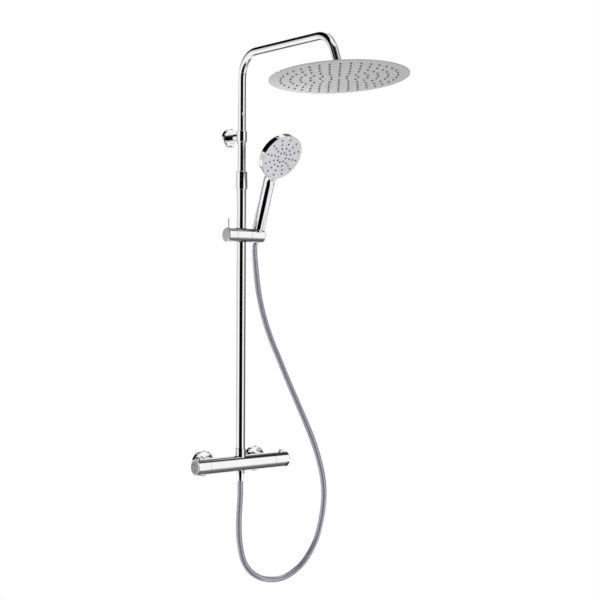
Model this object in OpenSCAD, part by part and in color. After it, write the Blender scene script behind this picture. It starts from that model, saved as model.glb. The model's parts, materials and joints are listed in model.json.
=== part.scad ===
// Thermostatic shower column: a bar valve on two wall inlets, a telescopic riser
// with an overhead arm and rain head, and a hand shower on a sliding holder.
//
// Frame: the origin is on the wall plane, midway between the two inlets, at the
// height of the valve's axis. +X runs along the wall to the right as a user sees it,
// +Y runs into the wall and +Z is up, so the whole column stands at negative Y.

/* [Valve bar] */
// Distance between the hot and cold inlets
inlet_spacing = 150; // [148:1:152]
// Distance from the wall to the axis of the valve and the riser
axis_to_wall = 52; // [50:1:56]
// Diameter of the valve bar and its knobs
bar_d = 38; // [36:1:40]
// Length of the body to the left of the riser
body_left = 93.5; // [92:0.5:95]
// Length of the body to the right of the riser
body_right = 93.5; // [92:0.5:95]
// Length of the flow knob, on the left
flow_knob_len = 35; // [33:1:40]
// Length of the temperature knob, on the right
temp_knob_len = 41; // [38:1:46]
// Diameter of the two inlet rosettes
rosette_d = 61; // [58:1:66]

/* [Riser] */
// Outer diameter of the lower riser tube
lower_tube_d = 22; // [22:1:22]
// Outer diameter of the upper tube and the overhead arm
upper_tube_d = 19; // [19:1:19]
// Height of the top of the telescopic coupling
coupling_top = 696.5; // [650:0.5:710]
// Height of the wall bracket
bracket_z = 780; // [740:1:800]

/* [Overhead arm] */
// Height of the axis of the arm
arm_z = 975; // [950:1:1050]
// Reach of the arm from the riser to the corner of its last bend
arm_reach = 332.5; // [325:0.5:400]
// Bend radius of the tube's centre line
bend_r = 58; // [50:1:60]
// Forward lean of the last stretch
drop_lean = 22; // [8:1:24]
// Distance from the arm's corner to the ball joint
ball_drop = 82.5; // [76:0.5:90]

/* [Rain head] */
// Diameter of the rain head
head_d = 305; // [290:5:320]
// Tilt of the rain head on its ball joint
head_lean = 5.2; // [0:0.1:8]
// Number of nozzle rings; ring number n holds 6 n nozzles
head_rings = 6; // [4:1:6]

/* [Hand shower] */
// Height of the slider on the riser
slider_z = 545; // [450:5:560]
// Outer diameter of the slider and its holder
slider_d = 34.6; // [34:0.1:36]
// Forward lean of the hand shower in its holder
handset_lean = 21; // [15:1:30]
// Turn of the hand shower about its handle
handset_turn = 5; // [-10:1:10]
// Diameter of the hand shower's head
handset_d = 112; // [105:1:115]
// Outer diameter of the hose
hose_d = 13.5; // [13:0.1:14]

/* [Hidden] */
$fn = 96;
FACE_GAP = 0.3;      // between the faces of two bodies that move
RUNNING = 0.05;      // radial clearance of a running fit
SEAM = 0.6;          // visible seam between the body and a knob

bar_r = bar_d / 2;
inlet_x = inlet_spacing / 2;
tube_r = lower_tube_d / 2;
tube_in_r = tube_r - 1;
arm_r = upper_tube_d / 2;
arm_in_r = arm_r - 1;
slider_r = slider_d / 2;

// Inlets, as distances out from the wall
thread_r = 10.48;            // G 1/2 thread that screws into the wall
thread_len = 15;
union_r = 12.9;
union_len = 20;
washer_t = 2;
stub_end = union_len + washer_t;
stub_r = 12;
stub_flange_r = 13.5;

// Valve cavities
cavity_r = 15;
cartridge_in = 40;           // distance of a cartridge's inner end from the riser
spindle_r = 4.55;
spindle_in = 62;
passage_r = 7;
knob_wall = 2.2;
knob_end = 3;
hub_r = 7.6;

// Stop buttons
button_len = 12;
button_w = 7.4;
temp_button_h = 5.4;         // height of a button above the knob
flow_button_h = 3.4;
button_foot_r = 14.2;        // lowest radius of a button's foot inside the knob

// Bottom outlet and the hose's lower nut
outlet_z = -21.5;
nipple_z = -30;
hose_nut_end = -42;

// Riser
boss_top = 22;
riser_nut_top = 36.5;
coupling_h = 42;
coupling_z0 = coupling_top - coupling_h;
coupling_split = coupling_z0 + 23.2;
tube_top = coupling_z0 + 13.5;
upper_tube_z0 = 520;         // bottom of the upper tube inside the lower one

// Wall bracket
collar_h = 26;
bracket_rosette_r = 22.5;
rod_r = 8;

// Arm: the last stretch leans forward from the corner
bend_angle = 90 - drop_lean;
corner_y = -axis_to_wall - arm_reach;
bend_cut = bend_r * tan(bend_angle / 2);
ball_y = corner_y - ball_drop * sin(drop_lean);
ball_height = arm_z - ball_drop * cos(drop_lean);

// Ball stud, as heights above the ball's centre
ball_r = 9;
neck_r = 4.8;
neck_top = 12;
drop_top = ball_drop - bend_cut - 0.02;

// Ball seat and cup, as heights above the rain head's face
ball_z = 24;
seat_r = 10.8;
cup_r = 14.5;
cup_z0 = 9;
cup_z1 = 30;

// Rain head
head_y = ball_y - ball_z * sin(head_lean);
head_z = ball_height - ball_z * cos(head_lean);
head_r = head_d / 2;
ring_first = 19.5;           // radius of the first ring of nozzles
ring_step = 21.5;            // spacing of the rings
nozzle_turn = 22;            // direction of the spoke that all rings share
nozzle_r = 1.9;

// Slider
slider_left = -20.3;
slider_right = 20;
knob_x0 = -43.8;
holder_x1 = 60.7;
spigot_r = 8;
socket_x = 45;
lever_x = -36.8;
lever_top = 39;

// Hand shower, along its handle from the slider's axis
nut_z0 = -17;
nut_z1 = 16.5;
nut_r0 = 10.6;
nut_r1 = 12.1;
handle_z0 = 18.5;
handle_z1 = 150;
handle_r0 = 14.9;
handle_r1 = 14;
face_z = 204;                // place of the centre of the face
face_y = -26.5;
face_tilt = 11;              // the face leans this much more than the handle
face_t = 19;                 // thickness of the head
tongue_end = 62;             // from the centre of the face to the end of its tongue
tongue_w = 22;               // width of the tongue's end
handset_r = handset_d / 2;
spray_rings = [[12.5, 8], [23.6, 12], [34.8, 12], [46, 12]];
spray_turn = -8;             // turn of the whole pattern about the face's centre

// Hose: its centre line from the valve's outlet to the hand shower's nut
hose_sides = 10;
hose_steps = 2;              // rings for each stretch between two points
hose_route = [
    [0, -52, -42], [0, -52, -66], [-1.5, -53, -92], [-7, -57, -136], [-11, -65, -180],
    [-8, -75, -224], [5.5, -83, -252], [29.5, -91, -271], [59.5, -98, -279],
    [89.5, -105, -277], [118, -113, -263], [143.5, -122, -238], [167, -131, -195],
    [179, -138, -145], [184, -142, -94], [181, -142, -44], [171, -138, 5],
    [157, -131, 54], [140, -121, 102], [123, -109, 150], [106, -97, 198],
    [90.5, -84, 247], [75.5, -71, 295], [63.5, -60, 343], [55, -52, 391], [50.5, -46.5, 435],
    [48, -43, 475], [46.3, -41.4, 502], [45.2, -42.2, 519], [45, -45.87, 529.02]
];

// ---------------------------------------------------------------- frames

// Turns a shape drawn along +Z so that it runs out from the wall
module from_wall(x = 0, z = 0) {
    translate([x, 0, z]) rotate([90, 0, 0]) children();
}

// Turns a shape drawn along +Z so that it runs along +X on the valve's axis
module on_bar(x = 0) {
    translate([x, -axis_to_wall, 0]) rotate([0, 90, 0]) children();
}

module right_knob_frame() {
    on_bar(body_right + SEAM) children();
}

module left_knob_frame() {
    mirror([1, 0, 0]) on_bar(body_left + SEAM) children();
}

module on_riser(z = 0) {
    translate([0, -axis_to_wall, z]) children();
}

// Turns a shape drawn along +Z so that it runs along +X on the slider's axis
module on_slider(x = 0) {
    translate([x, -axis_to_wall, slider_z]) rotate([0, 90, 0]) children();
}

// Maps a flat drawing's X to the column's Y and its Y to the column's Z
module in_side_plane(y = 0, z = 0) {
    translate([0, y, z]) rotate([90, 0, 90]) children();
}

// Frame of the rain head: origin at the centre of its face, +Z back up the arm
module head_frame() {
    translate([0, head_y, head_z]) rotate([-head_lean, 0, 0]) children();
}

// Frame of the arm's last stretch: origin at the ball's centre, +Z back up the arm
module drop_frame() {
    translate([0, ball_y, ball_height]) rotate([-drop_lean, 0, 0]) children();
}

// Frame of the handle: origin on the slider's axis, +Z up the handle
module handle_frame() {
    translate([socket_x, -axis_to_wall, slider_z])
        rotate([handset_lean, 0, 0]) rotate([0, 0, handset_turn]) children();
}

// Frame of the spray face: origin at its centre, +Z out of the face, +Y up
module face_frame() {
    handle_frame() translate([0, face_y, face_z]) rotate([90 + face_tilt, 0, 0]) children();
}

module ring(r_out, r_in, z0, z1) {
    translate([0, 0, z0]) difference() {
        cylinder(r = r_out, h = z1 - z0);
        translate([0, 0, -1]) cylinder(r = r_in, h = z1 - z0 + 2);
    }
}

// ---------------------------------------------------------------- inlets

module s_union(side) {
    color("silver") from_wall(side * inlet_x) rotate_extrude() polygon([
        [7.5, -thread_len], [thread_r - 0.8, -thread_len], [thread_r, -thread_len + 0.8],
        [thread_r, -1.5], [9.3, -1.5], [9.3, 0], [union_r, 0], [union_r, 10],
        [12.2, 10.5], [12.2, union_len], [7.5, union_len]
    ]);
}

module rosette(side) {
    color("silver") from_wall(side * inlet_x) rotate_extrude() polygon([
        [rosette_d / 2, 0], [rosette_d / 2, 3.6], [rosette_d / 2 - 0.5, 4.9],
        [rosette_d / 2 - 1.6, 5.9], [rosette_d / 2 - 3.4, 6.5], [19, 7.2], [15.4, 8.4],
        [13.2, 8.4], [13.2, 7.2], [15, 7.2], [18.8, 6], [rosette_d / 2 - 3.6, 5.3],
        [rosette_d / 2 - 1.2, 4], [rosette_d / 2 - 1.2, 0]
    ]);
}

module union_nut(side) {
    color("silver") from_wall(side * inlet_x) difference() {
        intersection() {
            translate([0, 0, 11]) cylinder(r = 18.6, h = 18.5, $fn = 6);
            rotate_extrude() polygon([
                [0, 11], [16.6, 11], [17.8, 12.2], [17.8, 28.3], [16.6, 29.5], [0, 29.5]
            ]);
        }
        rotate_extrude() polygon([
            [0, 10], [12.35, 10], [12.35, 21.9], [13.6, 21.9], [13.6, 25.2], [12.1, 25.2],
            [12.1, 30], [0, 30]
        ]);
    }
}

module both_inlets() {
    for (side = [-1, 1]) from_wall(side * inlet_x) children();
}

module inlet_washers() {
    color("dimgray") both_inlets() ring(12, 7.8, union_len, stub_end);
}

module inlet_filters() {
    color("gainsboro") both_inlets() rotate_extrude() polygon([
        [5.4, stub_end + 0.2], [7.3, stub_end + 0.2], [7.3, stub_end + 1.4],
        [1.5, stub_end + 5.6], [1.5, stub_end + 4.8], [5.4, stub_end + 1.4]
    ]);
}

module non_return_valves() {
    color("darkslategray") both_inlets() difference() {
        translate([0, 0, stub_end + 6]) cylinder(r = 7.4, h = 7);
        translate([0, 0, stub_end + 5]) cylinder(r = 4.6, h = 4.5);
    }
}

// ---------------------------------------------------------------- valve

module mixer_body() {
    color("silver") difference() {
        union() {
            on_bar(-body_left) cylinder(r = bar_r, h = body_left + body_right);
            both_inlets() cylinder_from(stub_end + 3, axis_to_wall, stub_r);
            both_inlets() cylinder_from(stub_end, stub_end + 3.1, stub_flange_r);
            on_riser() cylinder(r = 12.8, h = boss_top);
            on_riser(outlet_z) cylinder(r = 10, h = -outlet_z);
            on_riser(nipple_z) cylinder(r = 8.1, h = -nipple_z);
        }
        on_bar(-body_left - 1) cylinder(r = cavity_r, h = body_left + 1 - cartridge_in + 0.5);
        on_bar(cartridge_in - 0.5) cylinder(r = cavity_r, h = body_right + 1 - cartridge_in + 0.5);
        on_bar(-cartridge_in - 1) cylinder(r = passage_r, h = 2 * cartridge_in + 2);
        both_inlets() cylinder_from(stub_end - 1, axis_to_wall - cavity_r + 2, 7.5);
        on_riser() cylinder(r = 6.5, h = boss_top + 1);
        on_riser(nipple_z - 1) cylinder(r = 4.5, h = -nipple_z + 1);
    }
}

module cylinder_from(z0, z1, r) {
    translate([0, 0, z0]) cylinder(r = r, h = z1 - z0);
}

module cartridge(body_len) {
    difference() {
        rotate_extrude() polygon([
            [0, cartridge_in], [14.85, cartridge_in], [14.85, 46], [13.2, 46], [13.2, 48.6],
            [14.85, 48.6], [14.85, 66], [13.4, 66], [13.4, 84], [14.85, 84],
            [14.85, body_len - 1], [0, body_len - 1]
        ]);
        translate([0, 0, spindle_in - 1.5])
            cylinder(r = spindle_r + RUNNING, h = body_len - spindle_in + 2);
    }
}

module spindle(end) {
    rotate_extrude() polygon([
        [0, spindle_in], [spindle_r, spindle_in], [spindle_r, end - 0.6],
        [spindle_r - 0.6, end], [0, end]
    ]);
}

module flow_cartridge() {
    color("ivory") mirror([1, 0, 0]) on_bar() cartridge(body_left);
}

module thermostat_cartridge() {
    color("peru") on_bar() cartridge(body_right);
}

module flow_spindle() {
    color("goldenrod") mirror([1, 0, 0]) on_bar()
        spindle(body_left + SEAM + flow_knob_len - knob_end - 0.2);
}

module temperature_spindle() {
    color("goldenrod") on_bar() spindle(body_right + SEAM + temp_knob_len - knob_end - 0.2);
}

module pill(len, w) {
    square([len - w, w], center = true);
    for (s = [-1, 1]) translate([s * (len - w) / 2, 0]) circle(d = w, $fn = 48);
}

// A knob stands on z = 0, its blind end at z = len; the button's slot is on its -X side
module knob(len, button_z) {
    scoop_r = 90;
    difference() {
        rotate_extrude() polygon([
            [0, len - knob_end], [hub_r, len - knob_end], [hub_r, 12],
            [hub_r + 0.4, 12], [hub_r + 0.4, len - knob_end], [bar_r - knob_wall, len - knob_end],
            [bar_r - knob_wall, 0], [bar_r, 0], [bar_r, len - 1.4], [bar_r - 0.4, len - 0.4],
            [bar_r - 1.4, len], [0, len]
        ]);
        translate([0, 0, button_z]) rotate([0, -90, 0]) translate([0, 0, 12])
            linear_extrude(12) pill(button_len + 0.6, button_w + 0.6);
        for (turn = [-130, 130]) rotate([0, 0, turn])
            translate([-(bar_r - 1.9 + scoop_r), 0, len + 3]) rotate([90, 0, 0])
                cylinder(r = scoop_r, h = 40, center = true, $fn = 180);
    }
    difference() {
        translate([0, 0, 8]) cylinder(r = hub_r, h = len - knob_end - 8 + 0.5);
        translate([0, 0, 7]) cylinder(r = spindle_r + RUNNING, h = len - knob_end - 7.1);
    }
}

module knob_button(button_z, height) {
    translate([0, 0, button_z]) rotate([0, -90, 0]) {
        translate([0, 0, button_foot_r + 1]) linear_extrude(bar_r + height - button_foot_r - 2)
            pill(button_len, button_w);
        translate([0, 0, bar_r + height - 1.01]) linear_extrude(0.51) pill(button_len - 0.6, button_w - 0.6);
        translate([0, 0, bar_r + height - 0.51]) linear_extrude(0.51) pill(button_len - 1.6, button_w - 1.6);
        translate([0, 0, button_foot_r]) linear_extrude(1.2) pill(button_len + 2, button_w + 1.4);
    }
}

module flow_knob() {
    color("silver") left_knob_frame() knob(flow_knob_len, flow_knob_len - 16);
}

module temperature_knob() {
    color("silver") right_knob_frame() knob(temp_knob_len, temp_knob_len - 14.5);
}

module flow_button() {
    color("silver") left_knob_frame() knob_button(flow_knob_len - 16, flow_button_h);
}

module temperature_button() {
    color("gray") right_knob_frame() knob_button(temp_knob_len - 14.5, temp_button_h);
}

// ---------------------------------------------------------------- riser

module riser_union_nut() {
    color("silver") on_riser() rotate_extrude() polygon([
        [tube_r + 0.05, boss_top], [12.4, boss_top], [12.4, riser_nut_top - 1],
        [11.9, riser_nut_top], [tube_r + 0.05, riser_nut_top]
    ]);
}

module riser_lower_tube() {
    color("silver") on_riser() ring(tube_r, tube_in_r, boss_top, tube_top);
}

module riser_coupling() {
    color("silver") on_riser() rotate_extrude() polygon([
        [tube_r + 0.05, coupling_z0], [13.5, coupling_z0], [13.9, coupling_z0 + 0.4],
        [13.9, coupling_split], [11.5, coupling_split], [11.5, coupling_split + 12.3],
        [arm_r + 0.1, coupling_split + 12.3], [arm_r + 0.1, tube_top], [tube_r + 0.05, tube_top]
    ]);
}

module riser_collet() {
    color("dimgray") on_riser() ring(11.4, arm_r + 0.08, coupling_split + 12.4, coupling_split + 15);
}

module riser_lock_nut() {
    color("silver") on_riser() rotate_extrude() polygon([
        [11.57, coupling_split + SEAM], [13.5, coupling_split + SEAM],
        [13.5, coupling_top - 0.6], [12.9, coupling_top], [arm_r + 0.08, coupling_top],
        [arm_r + 0.08, coupling_split + 15.4], [11.57, coupling_split + 15.4]
    ]);
}

module riser_guide_bush() {
    color("white") on_riser(upper_tube_z0) rotate_extrude() polygon([
        [6, -12], [tube_in_r - RUNNING, -12], [tube_in_r - RUNNING, -9.9], [8.4, -9.9],
        [8.4, -8.1], [tube_in_r - RUNNING, -8.1], [tube_in_r - RUNNING, -4.9], [8.4, -4.9],
        [8.4, -3.1], [tube_in_r - RUNNING, -3.1], [tube_in_r - RUNNING, -0.05],
        [arm_in_r - RUNNING, -0.05], [arm_in_r - RUNNING, 10], [6, 10]
    ]);
}

module riser_o_rings() {
    color("black") on_riser(upper_tube_z0) for (z = [-9, -4]) translate([0, 0, z])
        rotate_extrude() translate([9.2, 0]) circle(r = 0.75, $fn = 24);
}

// ---------------------------------------------------------------- wall bracket

module bracket_hanger_bolt() {
    color("silver") from_wall(0, bracket_z) rotate_extrude() polygon([
        [0, -30], [1.5, -30], [3.5, -26], [3.5, -3.5], [3, -3.5], [3, 14], [0, 14]
    ]);
}

module bracket_rosette() {
    color("silver") from_wall(0, bracket_z) rotate_extrude() polygon([
        [bracket_rosette_r, 0], [bracket_rosette_r, 4.6], [bracket_rosette_r - 0.6, 6.2],
        [bracket_rosette_r - 2.2, 7.3], [bracket_rosette_r - 4.5, 7.5], [13.5, 7.5],
        [12.5, 6.6], [rod_r + 0.25, 6.6], [rod_r + 0.25, 5.2], [13, 5.2], [14, 6.2],
        [bracket_rosette_r - 4.5, 6.2], [bracket_rosette_r - 1.4, 4.6],
        [bracket_rosette_r - 1.4, 0]
    ]);
}

module bracket_arm() {
    color("silver") difference() {
        union() {
            from_wall(0, bracket_z) rotate_extrude() polygon([
                [0, 0], [12, 0], [12, 4.5], [rod_r, 4.5], [rod_r, axis_to_wall], [0, axis_to_wall]
            ]);
            on_riser(bracket_z - collar_h / 2) rotate_extrude() polygon([
                [0, 0], [11.8, 0], [12.3, 0.5], [12.3, collar_h - 0.5], [11.8, collar_h],
                [0, collar_h]
            ]);
        }
        on_riser(bracket_z - collar_h) cylinder(r = arm_r + 0.08, h = 2 * collar_h);
        from_wall(0, bracket_z) cylinder_from(-1, 14.5, 3.05);
        translate([0, -axis_to_wall, bracket_z]) rotate([0, 90, 0]) cylinder(r = 2.05, h = 20);
    }
}

module bracket_grub_screw() {
    color("gray") translate([arm_r + 0.4, -axis_to_wall, bracket_z]) rotate([0, 90, 0])
        difference() {
            cylinder(r = 2, h = 2.2);
            translate([0, 0, 1]) cylinder(r = 1.1, h = 2, $fn = 6);
        }
}

// ---------------------------------------------------------------- overhead arm

module bend_solid(r, angle) {
    rotate_extrude(angle = angle) translate([bend_r, 0]) circle(r = r);
}

module bend(y, z, start, angle) {
    in_side_plane(y, z) rotate([0, 0, start]) difference() {
        bend_solid(arm_r, angle);
        bend_solid(arm_in_r, angle);
    }
}

module overhead_arm() {
    first_y = -axis_to_wall - bend_r;
    second_y = corner_y + bend_cut;
    color("silver") union() {
        on_riser() ring(arm_r, arm_in_r, upper_tube_z0, arm_z - bend_r);
        bend(first_y, arm_z - bend_r, 0, 90);
        translate([0, first_y, arm_z]) rotate([90, 0, 0])
            ring(arm_r, arm_in_r, 0, first_y - second_y);
        bend(second_y, arm_z - bend_r, 90, bend_angle);
    }
}

module arm_ball_stud() {
    color("silver") drop_frame() difference() {
        union() {
            sphere(r = ball_r);
            rotate_extrude() polygon([
                [0, 0], [neck_r, 0], [neck_r, neck_top - 1.5], [arm_r - 0.6, neck_top],
                [arm_r, neck_top + 0.6], [arm_r, drop_top], [arm_in_r - 0.5, drop_top],
                [arm_in_r - 0.5, drop_top + 3], [0, drop_top + 3]
            ]);
        }
        translate([0, 0, -12]) cylinder(r = 3.4, h = 60);
    }
}

module ball_seat() {
    color("whitesmoke") head_frame() translate([0, 0, ball_z]) difference() {
        sphere(r = seat_r);
        sphere(r = ball_r + RUNNING);
        translate([0, 0, 4.4]) cylinder(r = 20, h = 20);
        translate([0, 0, -27]) cylinder(r = 20, h = 20);
    }
}

// ---------------------------------------------------------------- rain head

module head_swivel_cup() {
    color("silver") head_frame() difference() {
        rotate_extrude() polygon([
            [0, cup_z0], [cup_r, cup_z0], [cup_r, cup_z1 - 5], [cup_r - 0.8, cup_z1 - 3.2],
            [11.6, cup_z1], [0, cup_z1]
        ]);
        translate([0, 0, ball_z]) sphere(r = seat_r + RUNNING);
        translate([0, 0, cup_z0 + 3]) cylinder(r = seat_r + RUNNING, h = ball_z - cup_z0 - 3);
        cylinder(r = 6, h = 60);
    }
}

module head_flow_disc() {
    color("seagreen") head_frame() ring(10.6, 2.6, cup_z0 + 3.1, cup_z0 + 5);
}

module head_back() {
    color("silver") head_frame() rotate_extrude($fn = 180) polygon([
        [head_r - 1.1, 0], [head_r - 0.3, 0], [head_r, 0.4], [head_r, 1.7], [head_r - 1, 2.4],
        [head_r - 6, 2.9], [60, 7.2], [20, 8.8], [6.5, cup_z0], [6.5, 7.8], [20, 7.6],
        [60, 6.1], [head_r - 6, 1.9], [head_r - 1.1, 1.7]
    ]);
}

module at_head_nozzles() {
    for (n = [1 : head_rings]) for (k = [0 : 6 * n - 1]) {
        a = nozzle_turn + k * 60 / n;
        r = ring_first + ring_step * (n - 1);
        translate([r * sin(a), -r * cos(a), 0]) children();
    }
}

module head_face() {
    color("lightgray") head_frame() difference() {
        cylinder(r = head_r - 1.2, h = 1, $fn = 180);
        at_head_nozzles() translate([0, 0, -1]) cylinder(r = nozzle_r + 0.3, h = 3, $fn = 24);
    }
}

module head_nozzles() {
    color("dimgray") head_frame() union() {
        translate([0, 0, 1.1]) cylinder(r = ring_first + ring_step * (head_rings - 1) + 6, h = 0.7);
        at_head_nozzles() translate([0, 0, -1.6]) cylinder(r1 = 1.45, r2 = nozzle_r, h = 2.9, $fn = 24);
    }
}

// ---------------------------------------------------------------- slider

module slider_body() {
    color("silver") difference() {
        union() {
            on_slider(slider_left) cylinder(r = slider_r, h = slider_right - slider_left);
            on_slider(knob_x0 + 5.2) cylinder(r = spigot_r, h = 30);
            on_slider(slider_right - 1) cylinder(r = spigot_r, h = 11);
        }
        on_riser(slider_z - 30) cylinder(r = 12.6, h = 60);
    }
}

module slider_bush() {
    color("dimgray") on_riser(slider_z) ring(12.5, tube_r + 0.06, -16.4, 16.4);
}

module slider_clamp_knob() {
    color("silver") difference() {
        on_slider(knob_x0) rotate_extrude() polygon([
            [0, 0], [slider_r - 0.8, 0], [slider_r, 0.8], [slider_r, slider_left - SEAM - knob_x0],
            [0, slider_left - SEAM - knob_x0]
        ]);
        on_slider(knob_x0 + 4.8) cylinder(r = spigot_r + 0.06, h = 30);
        translate([lever_x, -axis_to_wall, slider_z + 9.4]) cylinder(r = 1.85, h = 20);
    }
}

module clamp_lever() {
    color("silver") translate([lever_x, -axis_to_wall, slider_z]) rotate_extrude() polygon([
        [0, 9.5], [1.8, 9.5], [1.8, lever_top - 2], [2.3, lever_top - 1.6],
        [2.3, lever_top - 0.4], [1.9, lever_top], [0, lever_top]
    ]);
}

module handset_holder() {
    length = holder_x1 - slider_right - SEAM;
    color("silver") difference() {
        on_slider(slider_right + SEAM) rotate_extrude() polygon([
            [0, 0], [slider_r, 0], [slider_r, length - 2.6], [slider_r - 0.35, length - 1.3],
            [slider_r - 1.3, length - 0.35], [slider_r - 2.6, length], [0, length]
        ]);
        on_slider(slider_right) cylinder(r = spigot_r + 0.06, h = 10.5);
        translate([socket_x, -axis_to_wall, slider_z]) rotate([handset_lean, 0, 0]) {
            translate([0, 0, -30 + nut_z0]) cylinder(r = nut_r0 + FACE_GAP, h = 30.01);
            translate([0, 0, nut_z0])
                cylinder(r1 = nut_r0 + FACE_GAP, r2 = nut_r1 + FACE_GAP, h = nut_z1 - nut_z0);
            translate([0, 0, nut_z1 - 0.01]) cylinder(r = nut_r1 + FACE_GAP, h = 20);
            translate([0, -7.3, -40]) cube([30, 14.6, 80]);
        }
    }
}

// ---------------------------------------------------------------- hand shower

// Outline of the hand shower's head, a disc with a tongue down to the handle, drawn
// this far inside the shell's own outline
module face_outline(inset = 0) {
    r = handset_r - inset;
    circle(r = r, $fn = 128);
    polygon([
        [-r * 0.5, -r * 0.86], [inset - tongue_w / 2, inset - tongue_end],
        [tongue_w / 2 - inset, inset - tongue_end], [r * 0.5, -r * 0.86]
    ]);
}

module handset_shell() {
    color("silver") difference() {
        union() {
            handle_frame() translate([0, 0, handle_z0])
                cylinder(r1 = handle_r0, r2 = handle_r1, h = handle_z1 - handle_z0);
            handle_frame() cylinder_from(5, handle_z0 + 1, 9.5);
            face_frame() translate([0, 0, -face_t + 4]) linear_extrude(face_t - 4)
                face_outline();
            face_frame() translate([0, 0, -face_t])
                cylinder(r1 = handset_r - 5, r2 = handset_r - 0.5, h = 5);
            hull() {
                handle_frame() translate([0, 0, handle_z1 - 22]) sphere(r = 13.4, $fn = 32);
                handle_frame() translate([0, 0, handle_z1 - 2]) sphere(r = 14.4, $fn = 32);
                face_frame() translate([0, -22, -face_t - 0.7]) cylinder(r = 20, h = 2, $fn = 32);
            }
        }
        face_frame() translate([0, 0, -2.1]) linear_extrude(30)
            face_outline(1.6);
        face_frame() translate([0, 0, -face_t + 2]) cylinder(r = handset_r - 8, h = face_t);
        handle_frame() cylinder_from(handle_z0 + 2.5, handle_z1 - 2, 11);
        face_frame() translate([0, -60, -12]) rotate([-90, 0, 0]) cylinder(r = 4.5, h = 16);
        handle_frame() cylinder_from(0, handle_z0 + 10, 6);
    }
}

module at_spray_nozzles() {
    for (spray = spray_rings) for (k = [0 : spray[1] - 1])
        rotate([0, 0, spray_turn + k * 360 / spray[1]]) translate([0, spray[0], 0]) children();
}

module handset_face() {
    color("whitesmoke") face_frame() difference() {
        translate([0, 0, -2]) linear_extrude(2) face_outline(1.8);
        at_spray_nozzles() translate([0, 0, -3]) cylinder(r = 1.9, h = 5, $fn = 24);
    }
}

module handset_nozzles() {
    color("gray") face_frame() union() {
        translate([0, 0, -3.2]) cylinder(r = handset_r - 8.2, h = 1);
        at_spray_nozzles() translate([0, 0, -3]) cylinder(r1 = 1.7, r2 = 1.4, h = 3.8, $fn = 24);
    }
}

module hose_cone_nut() {
    color("silver") handle_frame() difference() {
        translate([0, 0, nut_z0]) cylinder(r1 = nut_r0, r2 = nut_r1, h = nut_z1 - nut_z0);
        cylinder_from(2, nut_z1 + 1, 9.56);
        cylinder_from(nut_z0 - 1, 5, 5);
    }
}

module handset_washer() {
    color("black") handle_frame() ring(9.4, 5.2, 2.2, 4.8);
}

// ---------------------------------------------------------------- hose

module hose_lower_nut() {
    color("silver") on_riser() difference() {
        union() {
            translate([0, 0, hose_nut_end])
                cylinder(r1 = 7.9, r2 = 9.6, h = outlet_z - 3 - hose_nut_end);
            translate([0, 0, outlet_z - 3]) cylinder(r = 9.9, h = 2.9);
        }
        translate([0, 0, nipple_z - 2.4]) cylinder(r = 8.16, h = 20);
        translate([0, 0, hose_nut_end - 1]) cylinder(r = 5, h = 20);
    }
}

module hose_washer() {
    color("black") on_riser() ring(8, 5.2, nipple_z - 2.3, nipple_z - 0.1);
}

// Catmull-Rom curve through the hose's route
function curve_point(p0, p1, p2, p3, t) =
    0.5 * (2 * p1 + (p2 - p0) * t + (2 * p0 - 5 * p1 + 4 * p2 - p3) * t * t
        + (3 * p1 - p0 - 3 * p2 + p3) * t * t * t);
function route_at(i) = hose_route[max(0, min(len(hose_route) - 1, i))];
function hose_points() = concat(
    [for (i = [0 : len(hose_route) - 2]) for (k = [0 : hose_steps - 1])
        curve_point(route_at(i - 1), route_at(i), route_at(i + 1), route_at(i + 2), k / hose_steps)],
    [route_at(len(hose_route) - 1)]);
function unit(v) = v / norm(v);
function heading(p, i) = i == 0 ? [0, 0, -1]
    : i == len(p) - 1 ? [0, -sin(handset_lean), cos(handset_lean)]
    : unit(p[i + 1] - p[i - 1]);
// The side vector is carried along from ring to ring, so the tube doesn't twist
function side_vectors(p, i = 0, u = [1, 0, 0]) =
    let (h = heading(p, i), v = unit(u - (u * h) * h))
    i == len(p) - 1 ? [v] : concat([v], side_vectors(p, i + 1, v));

module shower_hose() {
    p = hose_points();
    n = len(p);
    u = side_vectors(p);
    rings = [for (i = [0 : n - 1]) let (h = heading(p, i), w = cross(h, u[i]))
        for (k = [0 : hose_sides - 1]) let (a = 360 * k / hose_sides)
            p[i] + hose_d / 2 * (cos(a) * u[i] + sin(a) * w)];
    walls = [for (i = [0 : n - 2]) for (k = [0 : hose_sides - 1])
        let (a = i * hose_sides + k, b = i * hose_sides + (k + 1) % hose_sides)
        for (f = [[a, a + hose_sides, b], [b, a + hose_sides, b + hose_sides]]) f];
    ends = [[for (k = [0 : hose_sides - 1]) k],
        [for (k = [hose_sides - 1 : -1 : 0]) (n - 1) * hose_sides + k]];
    color("lightslategray") polyhedron(points = rings, faces = concat(walls, ends));
}

// ---------------------------------------------------------------- drawing

mixer_body();
s_union(-1);  // s_union_hot
s_union(1);  // s_union_cold
rosette(-1);  // rosette_hot
rosette(1);  // rosette_cold
union_nut(-1);  // union_nut_hot
union_nut(1);  // union_nut_cold
inlet_washers();
inlet_filters();
non_return_valves();
flow_cartridge();
thermostat_cartridge();
flow_knob();
flow_spindle();
flow_button();
temperature_knob();
temperature_spindle();
temperature_button();
riser_union_nut();
riser_lower_tube();
riser_coupling();
riser_collet();
riser_lock_nut();
riser_guide_bush();
riser_o_rings();
bracket_hanger_bolt();
bracket_rosette();
bracket_arm();
bracket_grub_screw();
overhead_arm();
arm_ball_stud();
ball_seat();
head_swivel_cup();
head_back();
head_face();
head_nozzles();
head_flow_disc();
slider_body();
slider_bush();
slider_clamp_knob();
clamp_lever();
handset_holder();
handset_shell();
handset_face();
handset_nozzles();
hose_cone_nut();
handset_washer();
hose_lower_nut();
hose_washer();
shower_hose();
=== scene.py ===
"""The looks of the shower column: chrome, satin steel, plastic and a hose, round the CAD frame."""
import json
import math

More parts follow.
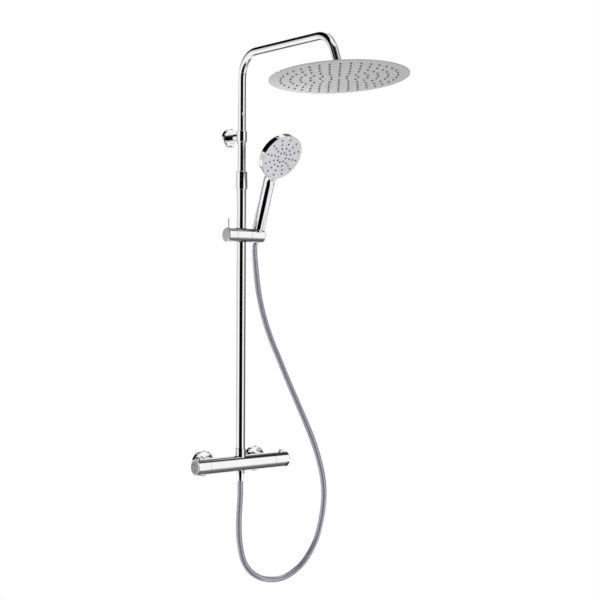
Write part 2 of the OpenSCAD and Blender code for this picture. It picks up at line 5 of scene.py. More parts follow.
import bmesh
import bpy
from mathutils import Matrix, Vector


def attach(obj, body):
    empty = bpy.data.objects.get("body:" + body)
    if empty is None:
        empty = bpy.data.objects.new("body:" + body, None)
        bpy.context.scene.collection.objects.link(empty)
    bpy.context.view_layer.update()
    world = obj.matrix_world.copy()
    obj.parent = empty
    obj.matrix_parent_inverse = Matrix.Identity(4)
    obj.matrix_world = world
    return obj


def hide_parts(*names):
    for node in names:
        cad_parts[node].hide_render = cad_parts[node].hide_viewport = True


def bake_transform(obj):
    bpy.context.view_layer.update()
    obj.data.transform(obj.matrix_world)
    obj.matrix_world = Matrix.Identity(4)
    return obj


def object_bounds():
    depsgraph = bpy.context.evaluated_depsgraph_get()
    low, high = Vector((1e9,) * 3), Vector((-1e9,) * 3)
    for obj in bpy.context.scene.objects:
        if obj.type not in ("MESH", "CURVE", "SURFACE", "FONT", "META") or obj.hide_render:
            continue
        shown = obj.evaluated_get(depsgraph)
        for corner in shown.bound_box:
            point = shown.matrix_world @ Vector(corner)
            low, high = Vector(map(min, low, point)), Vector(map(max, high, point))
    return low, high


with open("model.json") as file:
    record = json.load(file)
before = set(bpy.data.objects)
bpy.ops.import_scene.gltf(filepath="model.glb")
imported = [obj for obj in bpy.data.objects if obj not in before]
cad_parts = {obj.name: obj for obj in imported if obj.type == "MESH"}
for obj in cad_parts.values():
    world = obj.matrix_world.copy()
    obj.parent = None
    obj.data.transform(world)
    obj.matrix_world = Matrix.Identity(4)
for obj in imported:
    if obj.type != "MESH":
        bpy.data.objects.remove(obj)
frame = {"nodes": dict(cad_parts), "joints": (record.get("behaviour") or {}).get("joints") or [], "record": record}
cad_box = [list(corner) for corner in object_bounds()]

MM = 0.001
joints = {joint["name"]: joint for joint in frame["joints"]}


# ---------------------------------------------------------------- camera

CAMERA_AZIMUTH = 37.474          # degrees, turned from +Y towards +X
CAMERA_PITCH = -0.983
CAMERA_ROLL = 0.300
CAMERA_PLACE = (-1.7162, -2.5219, 0.4429)
CAMERA_LENS = 75.5               # mm on a 36 mm sensor


def make_camera():
    data = bpy.data.cameras.new("camera")
    data.lens, data.sensor_width = CAMERA_LENS, 36.0
    data.clip_start, data.clip_end = 0.1, 50.0
    camera = bpy.data.objects.new("camera", data)
    turn = (
        Matrix.Rotation(math.radians(-CAMERA_AZIMUTH), 4, "Z")
        @ Matrix.Rotation(math.radians(90 + CAMERA_PITCH), 4, "X")
        @ Matrix.Rotation(math.radians(CAMERA_ROLL), 4, "Z")
    )
    camera.matrix_world = Matrix.Translation(CAMERA_PLACE) @ turn
    bpy.context.scene.collection.objects.link(camera)
    bpy.context.scene.camera = camera


make_camera()


# ---------------------------------------------------------------- mesh tools

def new_object(name, mesh, sharp=30):
    """Links a mesh, smooth shaded with sharp edges above that angle."""
    for polygon in mesh.polygons:
        polygon.use_smooth = True
    mesh.set_sharp_from_angle(angle=math.radians(sharp))
    piece = bpy.data.objects.new(name, mesh)
    bpy.context.scene.collection.objects.link(piece)
    return piece


def ring_mesh(name, rings):
    """A closed mesh from rings of points, each joined to the next, with a cap on both ends."""
    mesh = bpy.data.meshes.new(name)
    sides = len(rings[0])
    points = [tuple(p) for ring in rings for p in ring]
    faces = []
    for i in range(len(rings) - 1):
        for k in range(sides):
            a, b = i * sides + k, i * sides + (k + 1) % sides
            faces.append((a, b, b + sides, a + sides))
    faces.append(tuple(range(sides - 1, -1, -1)))
    faces.append(tuple(range((len(rings) - 1) * sides, len(rings) * sides)))
    mesh.from_pydata(points, [], faces)
    mesh.validate()
    return mesh


def rounded(profile, steps=4):
    """A profile of (radius, height, corner) with each corner turned into an arc of that size."""
    out = []
    for i, (r, z, size) in enumerate(profile):
        here = Vector((r, z))
        if size <= 0 or i in (0, len(profile) - 1):
            out.append(here)
            continue
        before = Vector(profile[i - 1][:2]) - here
        after = Vector(profile[i + 1][:2]) - here
        start = here + before.normalized() * size
        end = here + after.normalized() * size
        for k in range(steps + 1):
            t = k / steps
            out.append(start * (1 - t) ** 2 + here * 2 * t * (1 - t) + end * t ** 2)
    return out


def lathe(name, profile, matrix, sides=96, steps=4):
    """A solid of revolution about the frame's Z, closed on its axis; the profile starts and ends there."""
    bm = bmesh.new()
    previous = None
    for r, z in rounded(profile, steps):
        if r < 1e-7:
            ring = [bm.verts.new((0, 0, z))]
        else:
            ring = [
                bm.verts.new((r * math.cos(math.tau * k / sides), r * math.sin(math.tau * k / sides), z))
                for k in range(sides)
            ]
        if previous:
            for k in range(sides):
                n = (k + 1) % sides
                corners = [previous[k % len(previous)], previous[n % len(previous)], ring[n % len(ring)],
                           ring[k % len(ring)]]
                corners = list(dict.fromkeys(corners))
                if len(corners) > 2:
                    bm.faces.new(corners)
        previous = ring
    bmesh.ops.recalc_face_normals(bm, faces=bm.faces)
    mesh = bpy.data.meshes.new(name)
    bm.to_mesh(mesh)
    bm.free()
    mesh.transform(matrix)
    return mesh


def face_outwards(mesh):
    bm = bmesh.new()
    bm.from_mesh(mesh)
    bmesh.ops.recalc_face_normals(bm, faces=bm.faces)
    bm.to_mesh(mesh)
    bm.free()


def joined(name, meshes):
    """One mesh from several."""
    bm = bmesh.new()
    for mesh in meshes:
        bm.from_mesh(mesh)
        bpy.data.meshes.remove(mesh)
    whole = bpy.data.meshes.new(name)
    bm.to_mesh(whole)
    bm.free()
    return whole


def cut(name, mesh, cutter):
    """The mesh less the cutter."""
    piece = bpy.data.objects.new(name, mesh)
    tool = bpy.data.objects.new(name + "_cutter", cutter)
    for o in (piece, tool):
        bpy.context.scene.collection.objects.link(o)
    holes = piece.modifiers.new("holes", "BOOLEAN")
    holes.operation, holes.object, holes.solver = "DIFFERENCE", tool, "EXACT"
    bpy.context.view_layer.update()
    made = bpy.data.meshes.new_from_object(piece.evaluated_get(bpy.context.evaluated_depsgraph_get()))
    made.name = name
    for o in (piece, tool):
        old = o.data
        bpy.data.objects.remove(o)
        bpy.data.meshes.remove(old)
    return made


def curve_through(points, steps):
    """A Catmull-Rom curve through the points, with that many steps between two of them."""
    p = [Vector(q) for q in points]
    p = [p[0]] + p + [p[-1]]
    line = []
    for i in range(1, len(p) - 2):
        a, b, c, d = p[i - 1:i + 3]
        for k in range(steps):
            t = k / steps
            line.append(0.5 * (2 * b + (c - a) * t + (2 * a - 5 * b + 4 * c - d) * t * t
                               + (3 * b - a - 3 * c + d) * t ** 3))
    return line + [p[-2]]


# ---------------------------------------------------------------- material tools

NOISE_ROUGHNESS = 0.55


class Nodes:
    """Short calls to build a node tree."""

    def __init__(self, tree):
        self.tree = tree
        tree.nodes.clear()

    def add(self, kind, **settings):
        node = self.tree.nodes.new("ShaderNode" + kind)
        for key, value in settings.items():
            setattr(node, key, value)
        return node

    def link(self, output, target):
        self.tree.links.new(output, target)

    def math(self, operation, *values):
        node = self.add("Math", operation=operation)
        for i, value in enumerate(values):
            if isinstance(value, (int, float)):
                node.inputs[i].default_value = value
            else:
                self.link(value, node.inputs[i])
        return node.outputs[0]

    def remap(self, value, low, high, to_low=0.0, to_high=1.0):
        """Moves a value from one range to another, with soft ends."""
        node = self.add("MapRange", interpolation_type="SMOOTHSTEP")
        self.link(value, node.inputs["Value"])
        for key, number in (("From Min", low), ("From Max", high), ("To Min", to_low), ("To Max", to_high)):
            node.inputs[key].default_value = number
        return node.outputs["Result"]

    def mix(self, share, first, second):
        """A mix of two colours; each is a socket or three numbers."""
        node = self.add("Mix", data_type="RGBA")
        self.link(share, node.inputs[0])
        for index, value in ((6, first), (7, second)):
            if isinstance(value, (tuple, list)):
                node.inputs[index].default_value = (*value, 1)
            else:
                self.link(value, node.inputs[index])
        return node.outputs[2]


def noise(nodes, scale, detail, stretch=None):
    """A noise in the object's own metres, stretched along an axis if asked."""
    place = nodes.add("TexCoord").outputs["Object"]
    if stretch:
        mapping = nodes.add("Mapping")
        nodes.link(place, mapping.inputs["Vector"])
        mapping.inputs["Scale"].default_value = stretch
        place = mapping.outputs["Vector"]
    texture = nodes.add("TexNoise")
    nodes.link(place, texture.inputs["Vector"])
    texture.inputs["Scale"].default_value = scale
    texture.inputs["Detail"].default_value = detail
    texture.inputs["Roughness"].default_value = NOISE_ROUGHNESS
    return texture.outputs["Fac"]


def finish_material(name, build):
    """A material whose shader the function build(nodes, shader) sets up."""
    material = bpy.data.materials.new(name)
    material.use_nodes = True
    nodes = Nodes(material.node_tree)
    shader = nodes.add("BsdfPrincipled")
    output = nodes.add("OutputMaterial")
    nodes.link(shader.outputs["BSDF"], output.inputs["Surface"])
    build(nodes, shader)
    return material


def bump(nodes, shader, height, strength, distance):
    node = nodes.add("Bump")
    node.inputs["Strength"].default_value = strength
    node.inputs["Distance"].default_value = distance
    nodes.link(height, node.inputs["Height"])
    nodes.link(node.outputs["Normal"], shader.inputs["Normal"])


# ---------------------------------------------------------------- materials

def chrome(tone, rough_low, rough_high):
    """Polished plate: an almost even tint and a faint polishing haze."""
    def build(nodes, shader):
        shader.inputs["Metallic"].default_value = 1.0
        haze = noise(nodes, 38, 3)
        tint = nodes.mix(nodes.remap(haze, 0.35, 0.7), tone, [0.975 * c for c in tone])
        nodes.link(tint, shader.inputs["Base Color"])
        nodes.link(nodes.remap(haze, 0.3, 0.7, rough_low, rough_high), shader.inputs["Roughness"])
    return build


def satin_steel(ring_scale):
    """Stainless plate, circular brushed about the rain head's own axis."""
    def build(nodes, shader):
        shader.inputs["Metallic"].default_value = 0.5
        place = nodes.add("TexCoord").outputs["Object"]
        shifted = nodes.add("VectorMath", operation="SUBTRACT")
        nodes.link(place, shifted.inputs[0])
        shifted.inputs[1].default_value = HEAD_FRAME.translation
        length = nodes.add("VectorMath", operation="LENGTH")
        nodes.link(shifted.outputs["Vector"], length.inputs[0])
        rings = nodes.add("TexNoise", noise_dimensions="1D")
        nodes.link(length.outputs["Value"], rings.inputs["W"])
        rings.inputs["Scale"].default_value = ring_scale
        rings.inputs["Detail"].default_value = 4.0
        cloud = noise(nodes, 22, 3)
        tint = nodes.mix(nodes.remap(cloud, 0.3, 0.7), (0.455, 0.455, 0.46), (0.44, 0.44, 0.445))
        nodes.link(tint, shader.inputs["Base Color"])
        nodes.link(nodes.remap(rings.outputs["Fac"], 0.3, 0.7, 0.36, 0.42), shader.inputs["Roughness"])
        bump(nodes, shader, rings.outputs["Fac"], 0.02, 0.0001)
    return build


def moulded(colour, darker, rough, grain=900, depth=0.05):
    """Moulded plastic or rubber with a fine grain and slightly uneven colour."""
    def build(nodes, shader):
        cloud = noise(nodes, 45, 3)
        nodes.link(nodes.mix(nodes.remap(cloud, 0.3, 0.7), colour, darker), shader.inputs["Base Color"])
        fine = noise(nodes, grain, 2)
        nodes.link(nodes.remap(fine, 0.3, 0.7, rough * 0.88, rough * 1.12), shader.inputs["Roughness"])
        bump(nodes, shader, fine, depth, 0.0002)
    return build


def turned_metal(colour, rough):
    """Machined brass or steel with fine turning marks."""
    def build(nodes, shader):
        shader.inputs["Metallic"].default_value = 1.0
        marks = noise(nodes, 500, 3, (1, 1, 0.2))
        nodes.link(nodes.mix(nodes.remap(marks, 0.3, 0.7), colour, [0.86 * c for c in colour]),
                   shader.inputs["Base Color"])
        nodes.link(nodes.remap(marks, 0.3, 0.7, rough * 0.8, rough * 1.25), shader.inputs["Roughness"])
        bump(nodes, shader, marks, 0.08, 0.0002)
    return build


HOSE_PITCH = 0.0032              # metres for one turn of the winding


def hose_skin(nodes, shader):
    """Silver-grey hose: a clear skin over a fine helical winding."""
    shader.inputs["Metallic"].default_value = 0.6
    shader.inputs["Coat Weight"].default_value = 0.25
    shader.inputs["Coat Roughness"].default_value = 0.15
    along = nodes.add("Attribute", attribute_name="along").outputs["Fac"]
    around = nodes.add("Attribute", attribute_name="around").outputs["Fac"]
    turns = nodes.math("ADD", nodes.math("DIVIDE", along, HOSE_PITCH), around)
    wave = nodes.math("SINE", nodes.math("MULTIPLY", turns, math.tau))
    cross = nodes.math("SINE", nodes.math("MULTIPLY", nodes.math(
        "SUBTRACT", nodes.math("DIVIDE", along, HOSE_PITCH), around), math.tau))
    weave = nodes.math("MAXIMUM", wave, cross)
    nodes.link(nodes.mix(nodes.remap(weave, -0.4, 1.0), (0.42, 0.425, 0.50), (0.45, 0.455, 0.53)),
               shader.inputs["Base Color"])
    nodes.link(nodes.remap(weave, -1.0, 1.0, 0.20, 0.16), shader.inputs["Roughness"])
    bump(nodes, shader, weave, 0.012, 0.0002)


# ---------------------------------------------------------------- rain head's frame

HEAD_LEAN = math.radians(5.2)
BALL_ABOVE_FACE = 24 * MM
ball = Vector(joints["head_tilt"]["pos_m"])
head_axis = Vector((0, math.sin(HEAD_LEAN), math.cos(HEAD_LEAN)))
HEAD_FRAME = Matrix.Translation(ball - head_axis * BALL_ABOVE_FACE) @ Matrix.Rotation(-HEAD_LEAN, 4, "X")

CHROME_TONE = (0.93, 0.93, 0.94)
materials = {
    name: finish_material(name, build)
    for name, build in {
        "chrome": chrome(CHROME_TONE, 0.02, 0.06),
        "chrome_plastic": chrome((0.91, 0.91, 0.93), 0.03, 0.07),
        "head_steel": satin_steel(1800),
        "mesh_steel": turned_metal((0.6, 0.6, 0.61), 0.32),
        "brass": turned_metal((0.78, 0.58, 0.28), 0.28),
        "face_plastic": moulded((0.72, 0.71, 0.755), (0.70, 0.69, 0.735), 0.42, grain=500, depth=0.01),
        "nozzle_rubber": moulded((0.105, 0.085, 0.08), (0.08, 0.065, 0.06), 0.6),
        "rubber": moulded((0.02, 0.02, 0.02), (0.03, 0.03, 0.03), 0.6),
        "plastic_dark": moulded((0.035, 0.035, 0.04), (0.05, 0.05, 0.052), 0.5),
        "plastic_light": moulded((0.72, 0.71, 0.68), (0.66, 0.65, 0.62), 0.45),
        "hose_skin": hose_skin,
        # these four are no slots of the record
        "inner_nozzles": moulded((0.03, 0.03, 0.07), (0.02, 0.02, 0.05), 0.5),
        "satin_dark": turned_metal((0.40, 0.40, 0.41), 0.4),
        "satin_light": turned_metal((0.66, 0.655, 0.69), 0.4),
        "index_paint": moulded((0.10, 0.10, 0.11), (0.07, 0.07, 0.08), 0.5),
    }.items()
}


def dress(piece, body, slot_name, material=None, stands_for=()):
    """Gives a piece the material named after its record slot, or another if one is given, and lets it ride on its
    body.
    """
    piece.data.materials.clear()
    piece.data.materials.append(materials[material or slot_name])
    if body:
        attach(piece, body)
    if stands_for:
        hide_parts(*stands_for)
    return piece


for subpart in frame["record"]["subparts"]:
    node = frame["nodes"][subpart["node"]]
    node.data.materials.clear()
    node.data.materials.append(materials[subpart["material_slot"]])


# ---------------------------------------------------------------- hose

HOSE_D = 13.5 * MM
HOSE_SIDES = 28
HOSE_ROUTE = [
    [0, -52, -42], [0, -52, -66], [-1.5, -53, -92], [-7, -57, -136], [-11, -65, -180],
    [-8, -75, -224], [5.5, -83, -252], [29.5, -91, -271], [59.5, -98, -279],
    [89.5, -105, -277], [118, -113, -263], [143.5, -122, -238], [167, -131, -195],
    [179, -138, -145], [184, -142, -94], [181, -142, -44], [171, -138, 5],
    [157, -131, 54], [140, -121, 102], [123, -109, 150], [106, -97, 198],
    [90.5, -84, 247], [75.5, -71, 295], [63.5, -60, 343], [55, -52, 391], [50.5, -46.5, 435],
    [48, -43, 475], [46.3, -41.4, 502], [45.2, -42.2, 519], [45, -45.87, 529.02],
]
LOOP_END = 14                    # the route's point where the loop has come round to the right
RISE_END = 25                    # the point where the last stretch to the hand shower starts
HOSE_STEPS = 6


def sweep(name, line, start_heading, end_heading, travelled):
    """A round tube along the line, with its length and turn kept as attributes for the hose's winding."""
    side = Vector((1, 0, 0))
    rings, lengths = [], []
    for i, p in enumerate(line):
        if i:
            travelled += (p - line[i - 1]).length
        heading = start_heading if i == 0 else end_heading if i == len(line) - 1 else (
            line[i + 1] - line[i - 1]).normalized()
        side = (side - heading * side.dot(heading)).normalized()
        up = heading.cross(side)
        rings.append([
            p + HOSE_D / 2 * (math.cos(a) * side + math.sin(a) * up)
            for a in (math.tau * k / HOSE_SIDES for k in range(HOSE_SIDES))
        ])
        lengths.append(travelled)
    mesh = ring_mesh(name, rings)
    along = mesh.attributes.new("along", "FLOAT", "POINT")
    around = mesh.attributes.new("around", "FLOAT", "POINT")
    for i, length in enumerate(lengths):
        for k in range(HOSE_SIDES):
            along.data[i * HOSE_SIDES + k].value = length
            around.data[i * HOSE_SIDES + k].value = 4 * abs(0.5 - k / HOSE_SIDES)
    return new_object(name, mesh, 60), travelled


def heading_at(line, i):
    return (line[i + 1] - line[i - 1]).normalized()


def make_hose():
    route = [Vector(p) * MM for p in HOSE_ROUTE]
    line = curve_through(route, HOSE_STEPS)
    loop_end, rise_end = LOOP_END * HOSE_STEPS, RISE_END * HOSE_STEPS
    nut_axis = Vector(joints["handset_turn"]["axis"])
    stretches = [
        ("hose_loop", 0, loop_end, Vector((0, 0, -1)), heading_at(line, loop_end)),
        ("hose_rise", loop_end, rise_end, heading_at(line, loop_end), heading_at(line, rise_end)),
        ("hose_top", rise_end, len(line) - 1, heading_at(line, rise_end), nut_axis),
    ]
    travelled = 0.0
    for name, first, last, start_heading, end_heading in stretches:
        part = line[first:last + 1]
        piece, travelled = sweep(name, part, start_heading, end_heading, travelled)
        dress(piece, None, "hose_skin", stands_for=["shower_hose"])
        piece.visible_glossy = False
        if name == "hose_loop":
            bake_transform(piece)
        elif name == "hose_rise":
            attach(piece, "slider")
        else:
            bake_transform(piece)


make_hose()


# ---------------------------------------------------------------- rain head

HEAD_R = 152.5 * MM
HEAD_RINGS = 6
RING_FIRST = 19.5 * MM
RING_STEP = 21.5 * MM
NOZZLE_TURN = math.radians(22)
HOLE_R = 2.5 * MM


def head_nozzle_places():
    for n in range(1, HEAD_RINGS + 1):
        for k in range(6 * n):
            a = NOZZLE_TURN + math.radians(60 / n) * k
            r = RING_FIRST + RING_STEP * (n - 1)
            yield Vector((r * math.sin(a), -r * math.cos(a), 0))


def nozzle_profile(base_r, tip_r, reach, root):
    """A soft nozzle with a rounded tip and a small bore, drawn from the back to the tip along -Z."""
    bore = tip_r * 0.42
    return [
        (0, root, 0), (base_r, root, 0), (base_r, 0, 0.1 * MM), (tip_r, -reach, 0.3 * MM),
        (bore, -reach, 0.1 * MM), (bore, -reach + 0.7 * MM, 0), (0, -reach + 0.7 * MM, 0),
    ]


def make_rain_head():
    plate_r = HEAD_R - 1.2 * MM
    plate = lathe("head_plate", [
        (0, 1 * MM, 0), (plate_r, 1 * MM, 0), (plate_r, 0, 0.5 * MM), (0, 0, 0),
    ], Matrix.Identity(4), sides=192)
    holes = joined("holes", [
        lathe("hole", [
            (0, 3 * MM, 0), (HOLE_R, 3 * MM, 0), (HOLE_R, 0.45 * MM, 0),
            (HOLE_R + 0.5 * MM, -0.05 * MM, 0), (HOLE_R + 0.5 * MM, -1 * MM, 0), (0, -1 * MM, 0),
        ], Matrix.Translation(place), sides=24)
        for place in head_nozzle_places()
    ])
    mesh = cut("head_plate", plate, holes)
    mesh.transform(HEAD_FRAME)
    dress(new_object("rain_plate", mesh, 25), "rain_head", "head_steel", stands_for=["head_face"])
    spray = [
        lathe("nozzle", nozzle_profile(2.3 * MM, 1.8 * MM, 1.8 * MM, 1.3 * MM),
              HEAD_FRAME @ Matrix.Translation(place), sides=20, steps=3)
        for place in head_nozzle_places()
    ]
    backing = lathe("backing", [
        (0, 1.8 * MM, 0), (HEAD_R - 16 * MM, 1.8 * MM, 0), (HEAD_R - 16 * MM, 1.1 * MM, 0), (0, 1.1 * MM, 0),
    ], HEAD_FRAME)
    dress(new_object("rain_nozzles", joined("rain_nozzles", [*spray, backing]), 40), "rain_head",
          "nozzle_rubber", stands_for=["head_nozzles"])


make_rain_head()


# ---------------------------------------------------------------- hand shower

HANDSET_TURN = math.radians(5)
FACE_PLACE = Vector((0, -26.5, 204)) * MM
FACE_TILT = math.radians(11)
SPRAY_TURN = math.radians(-8)
HANDSET_R = 56 * MM
NECK_HALF = 11.2 * MM
NECK_FILLET = 5 * MM
TONGUE_END = 62 * MM
SPRAY_RINGS = [(12.5 * MM, 8), (23.6 * MM, 12), (34.8 * MM, 12), (46 * MM, 12)]
handle_axis = Vector(joints["handset_turn"]["axis"])
handset_lean = math.atan2(-handle_axis.y, handle_axis.z)
HANDLE_FRAME = (
    Matrix.Translation(joints["handset_turn"]["pos_m"])
    @ Matrix.Rotation(handset_lean, 4, "X")
    @ Matrix.Rotation(HANDSET_TURN, 4, "Z")
)
FACE_FRAME = HANDLE_FRAME @ Matrix.Translation(FACE_PLACE) @ Matrix.Rotation(math.pi / 2 + FACE_TILT, 4, "X")


def paddle_outline(inset, steps=12):
    """The head's outline: a disc that runs through two fillets into the neck, closed by the tongue."""
    r, half, fillet, end = HANDSET_R - inset, NECK_HALF - inset, NECK_FILLET + inset, TONGUE_END - inset
    centre = Vector((half + fillet, -math.sqrt((r + fillet) ** 2 - (half + fillet) ** 2)))
    touch = math.atan2(centre.y, centre.x)
    right = []
    disc_steps = 8 * steps
    for k in range(disc_steps + 1):
        a = math.pi / 2 + (touch - math.pi / 2) * k / disc_steps
        right.append(Vector((r * math.cos(a), r * math.sin(a))))
    for k in range(1, steps + 1):
        a = math.pi + touch * (1 - k / steps)
        right.append(centre + fillet * Vector((math.cos(a), math.sin(a))))
    corner = 1.5 * MM
    for k in range(steps // 2 + 1):
        a = -k / (steps // 2) * math.pi / 2
        right.append(Vector((half - corner + corner * math.cos(a), -end + corner + corner * math.sin(a))))
    left = [Vector((-p.x, p.y)) for p in reversed(right[1:])]
    return right + left


def spray_places():
    for r, count in SPRAY_RINGS:
        for k in range(count):
            a = SPRAY_TURN + math.tau * k / count
            yield r, Vector((-r * math.sin(a), r * math.cos(a), 0))


def make_face():
    """The spray face: one plate with a softly rounded edge and a hole for each nozzle."""
    edge = [(0.0, -2.0), (0.0, -0.45), (0.08, -0.2), (0.25, 0.0), (0.55, 0.12), (1.0, 0.15)]
    rings = [
        [Vector((p.x, p.y, z * MM)) for p in paddle_outline(1.5 * MM + inset * MM)]
        for inset, z in edge
    ]
    plate = ring_mesh("face", rings)
    face_outwards(plate)
    holes = joined("holes", [
        lathe("hole", [
            (0, -4 * MM, 0), (2.3 * MM, -4 * MM, 0), (2.3 * MM, -0.2 * MM, 0),
            (2.6 * MM, 0.2 * MM, 0), (2.6 * MM, 1 * MM, 0), (0, 1 * MM, 0),
        ], Matrix.Translation(place), sides=24)
        for _, place in spray_places()
    ])
    mesh = cut("handset_plate", plate, holes)
    mesh.transform(FACE_FRAME)
    dress(new_object("handset_plate", mesh, 25), "hand_shower", "face_plastic", stands_for=["handset_face"])
    for name, inner in (("handset_jets", True), ("handset_rain_jets", False)):
        jets = [
            lathe("jet", nozzle_profile(2.15 * MM, 1.85 * MM, 0.85 * MM, 2.6 * MM),
                  FACE_FRAME @ Matrix.Translation(place) @ Matrix.Rotation(math.pi, 4, "X"),
                  sides=20, steps=3)
            for r, place in spray_places() if (r == SPRAY_RINGS[0][0]) == inner
        ]
        dress(new_object(name, joined(name, jets), 40), "hand_shower", "nozzle_rubber",
              material="inner_nozzles" if inner else None, stands_for=["handset_nozzles"])


# Stations along the handle, seen in the face's frame: place, half width, front, back, squareness
NECK_STATIONS = [
    (-118, 14.35, 10.3, -18.4, 2), (-104, 14.25, 7.5, -21, 2), (-92, 14.15, 5, -23.3, 2),
    (-82, 14.05, 3, -25.1, 2), (-74, 14, 1.4, -26.6, 2.05), (-67, 13.9, -0.9, -28, 2.2),
    (-62, 13.7, -1.6, -27, 2.5), (-57, 14.4, -1.7, -25.8, 2.9), (-51, 18.5, -1.9, -24.4, 3.1),
    (-42, 21, -3, -22.6, 2.9), (-30, 17, -4.5, -20.8, 2.5), (-18, 8, -6.5, -19.2, 2.2),
]


def make_shell():
    """The chrome shell: a puck, and a handle that widens and flattens into it."""
    puck = lathe("puck", [
        (0, -2.2 * MM, 0), (54.4 * MM, -2.2 * MM, 0), (54.4 * MM, -0.1 * MM, 0.2 * MM),
        (HANDSET_R, -0.1 * MM, 0.7 * MM), (HANDSET_R, -14.5 * MM, 3 * MM), (51 * MM, -18.6 * MM, 3.5 * MM),
        (30 * MM, -19.2 * MM, 0), (0, -19.5 * MM, 0),
    ], FACE_FRAME, sides=192, steps=8)
    stations = curve_through([Vector(s[:3]) for s in NECK_STATIONS], 5)
    rest = curve_through([Vector((s[0], s[3], s[4])) for s in NECK_STATIONS], 5)
    rings = []
    sides = 64
    for (y, half, front), (_, back, square) in zip(stations, rest):
        middle, depth = (front + back) / 2, (front - back) / 2
        ring = []
        for k in range(sides):
            a = math.tau * k / sides
            c, s = math.cos(a), math.sin(a)
            x = half * math.copysign(abs(c) ** (2 / square), c)
            z = middle + depth * math.copysign(abs(s) ** (2 / square), s)
            ring.append(FACE_FRAME @ (Vector((x, y, z)) * MM))
        rings.append(ring)
    neck = ring_mesh("neck", rings)
    handle = lathe("handle", [
        (0, 4 * MM, 0), (9.5 * MM, 4 * MM, 0.4 * MM), (9.5 * MM, 18.5 * MM, 0),
        (14.9 * MM, 18.5 * MM, 0.8 * MM), (14.35 * MM, 92 * MM, 0), (13.9 * MM, 96 * MM, 0), (0, 96 * MM, 0),
    ], HANDLE_FRAME, sides=96)
    mesh = joined("handset_body", [puck, neck, handle])
    face_outwards(mesh)
    dress(new_object("handset_body", mesh, 35), "hand_shower", "chrome_plastic",
          stands_for=["handset_shell"])


make_face()
make_shell()


# ---------------------------------------------------------------- end faces

FLOW_KNOB_END = -129.1 * MM
CLAMP_END = -43.8 * MM
VALVE_AXIS = Vector(joints["flow_turn"]["pos_m"])
SLIDER_AXIS = Vector(joints["clamp_turn"]["pos_m"])


def end_face(name, body, centre, r, material):
    """A satin end face, let into the end of a knob that looks to the left."""
    frame_of_face = Matrix.Translation(centre) @ Matrix.Rotation(-math.pi / 2, 4, "Y")
    mesh = lathe(name, [
        (0, -0.5 * MM, 0), (r, -0.5 * MM, 0), (r, 0.2 * MM, 0.15 * MM), (0, 0.2 * MM, 0),
    ], frame_of_face)
    dress(new_object(name, mesh), body, "chrome", material)


def index_mark(name, centre, width, height):
    """A small printed bar on the flow knob's end face."""
    bm = bmesh.new()
    bmesh.ops.create_cube(bm, size=1.0, matrix=Matrix.Translation(centre) @ Matrix.Diagonal(
        (0.3 * MM, width, height, 1)))
    mesh = bpy.data.meshes.new(name)
    bm.to_mesh(mesh)
    bm.free()
    return mesh


def make_end_faces():
    flow_end = Vector((FLOW_KNOB_END, VALVE_AXIS.y, VALVE_AXIS.z))
    end_face("flow_end_face", "flow_control", flow_end, 16.2 * MM, "satin_dark")
    end_face("clamp_end_face", "slider_clamp", Vector((CLAMP_END, SLIDER_AXIS.y, SLIDER_AXIS.z)),
             15.6 * MM, "satin_light")
    marks = joined("flow_index", [
        index_mark("mark", flow_end + Vector((-0.2, y, z)) * MM, width * MM, height * MM)
        for y, z, width, height in ((2, 8.5, 5, 1.6), (1, 6, 1.6, 3), (-1, -7, 4, 1.6))
    ])
    dress(new_object("flow_index", marks), "flow_control", "chrome", "index_paint")


make_end_faces()


# ---------------------------------------------------------------- studio

def linear(level):
    """A display level from 0 to 255 as light."""
    s = level / 255
    return s / 12.92 if s <= 0.04045 else ((s + 0.055) / 1.055) ** 2.4


# Cards round the studio: middle and half width, turned right from the camera's side, the lowest and
# highest elevation, the soft edges across and up, all in degrees, and the display level
CARDS = [
    ("floor_right", 116, 44, -80, -33, 12, 26, 110),
    ("floor_back", 143, 18, -62, -40, 12, 10, 68),
    ("floor_back_left", -163, 15, -44, -12, 8, 8, 92),
    ("back_right", 128, 45, -11, 15, 6, 6, 104),
    ("top_right", 122, 28, 41, 66, 12, 12, 42),
    ("top_back", 160, 11, 30, 62, 8, 8, 95),
    ("back_left", -136, 50, -8, 9, 12, 4, 210),
    ("upper_left", -103, 57, 13, 80, 14, 5, 8),
    ("right_strip", 53, 13, 11, 20, 6, 4, 80),
    ("camera_side", 1, 40, -64, 19, 4, 4, 8),
    ("camera_top", -8, 36, 17, 54, 8, 6, 8),
    ("right_upper", 46, 20, 17, 54, 8, 6, 84),
    ("right_edge", 106, 10, 30, 44, 6, 6, 100),
    ("back_right_high", 128, 32, 10, 32, 8, 6, 104),
]


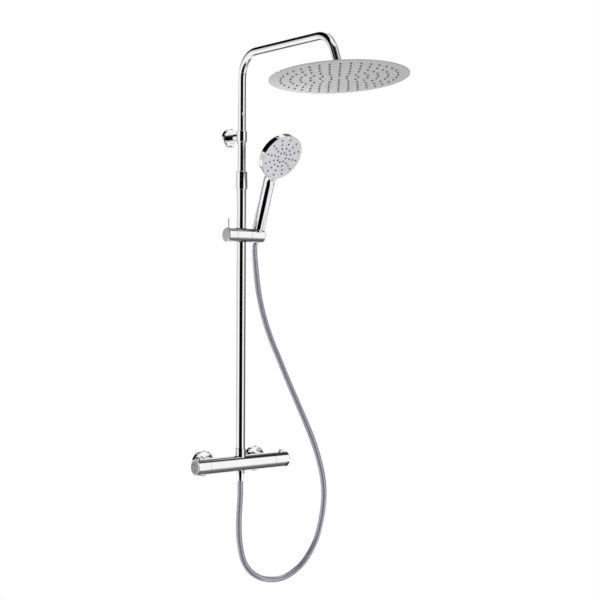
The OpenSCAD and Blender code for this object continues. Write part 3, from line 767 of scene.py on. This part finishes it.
def make_world():
    world = bpy.data.worlds.new("studio")
    bpy.context.scene.world = world
    world.use_nodes = True
    nodes = Nodes(world.node_tree)
    direction = nodes.add("TexCoord").outputs["Generated"]
    towards = Vector((-math.sin(math.radians(CAMERA_AZIMUTH)), -math.cos(math.radians(CAMERA_AZIMUTH)), 0))
    rightwards = Vector((-towards.y, towards.x, 0))

    def along(vector):
        node = nodes.add("VectorMath", operation="DOT_PRODUCT")
        nodes.link(direction, node.inputs[0])
        node.inputs[1].default_value = vector
        return node.outputs["Value"]

    turn = nodes.math("ARCTAN2", along(rightwards), along(towards))
    rise = nodes.math("ARCSINE", along(Vector((0, 0, 1))))
    light = None
    for _, middle, half, low, high, soft, fade, level in CARDS:
        half, low, high, soft, fade = (math.radians(x) for x in (half, low, high, soft, fade))
        offset = nodes.math("SUBTRACT", turn, math.radians(middle))
        wrapped = nodes.math("WRAP", offset, math.pi, -math.pi)
        across = nodes.remap(nodes.math("ABSOLUTE", wrapped), half + soft / 2, half - soft / 2)
        up = nodes.remap(rise, low - fade / 2, low + fade / 2)
        down = nodes.remap(rise, high + fade / 2, high - fade / 2)
        share = nodes.math("MULTIPLY", across, nodes.math("MULTIPLY", up, down))
        grey = linear(level)
        light = nodes.mix(share, light or (1.0, 1.0, 1.0), (grey, grey, grey))
    seen = nodes.add("LightPath").outputs["Is Camera Ray"]
    background = nodes.add("Background")
    nodes.link(nodes.mix(seen, light, (1.0, 1.0, 1.0)), background.inputs["Color"])
    background.inputs["Strength"].default_value = 1.0
    nodes.link(background.outputs["Background"], nodes.add("OutputWorld").inputs["Surface"])


def area_light(name, place, target, size, power):
    """A round light that no mirror and no camera sees."""
    data = bpy.data.lights.new(name, "AREA")
    data.shape, data.size, data.energy = "DISK", size, power
    light = bpy.data.objects.new(name, data)
    light.location = place
    light.rotation_mode = "QUATERNION"
    light.rotation_quaternion = (Vector(target) - Vector(place)).to_track_quat("-Z", "Y")
    light.visible_glossy = False
    light.visible_camera = False
    bpy.context.scene.collection.objects.link(light)


FLOOR_Z = -1.1                   # the valve is mounted 1.1 m above the floor
FLOOR_R = 2.0
FLOOR_MIDDLE_Y = -0.25


def make_floor():
    mesh = bpy.data.meshes.new("floor")
    bm = bmesh.new()
    bmesh.ops.create_circle(bm, cap_ends=True, segments=96, radius=FLOOR_R,
                            matrix=Matrix.Translation((0, FLOOR_MIDDLE_Y, FLOOR_Z)))
    bm.to_mesh(mesh)
    bm.free()
    floor = bpy.data.objects.new("floor", mesh)
    bpy.context.scene.collection.objects.link(floor)
    floor.data.materials.append(finish_material(
        "floor", moulded((0.86, 0.86, 0.86), (0.84, 0.84, 0.84), 0.7, grain=60, depth=0.02)))
    floor.visible_glossy = False


make_world()
middle = Vector([(low + high) / 2 for low, high in zip(*cad_box)])
area_light("key", (-1.6, -2.4, 2.2), middle, 1.6, 30)
area_light("front_fill", (-0.9, -1.9, 0.55), (0, -0.2, 0.7), 0.9, 22)
area_light("from_the_wall", (0, 0.12, 0.68), (0, -0.35, 0.88), 0.3, 13)
make_floor()
bpy.context.scene.view_settings.view_transform = "Standard"
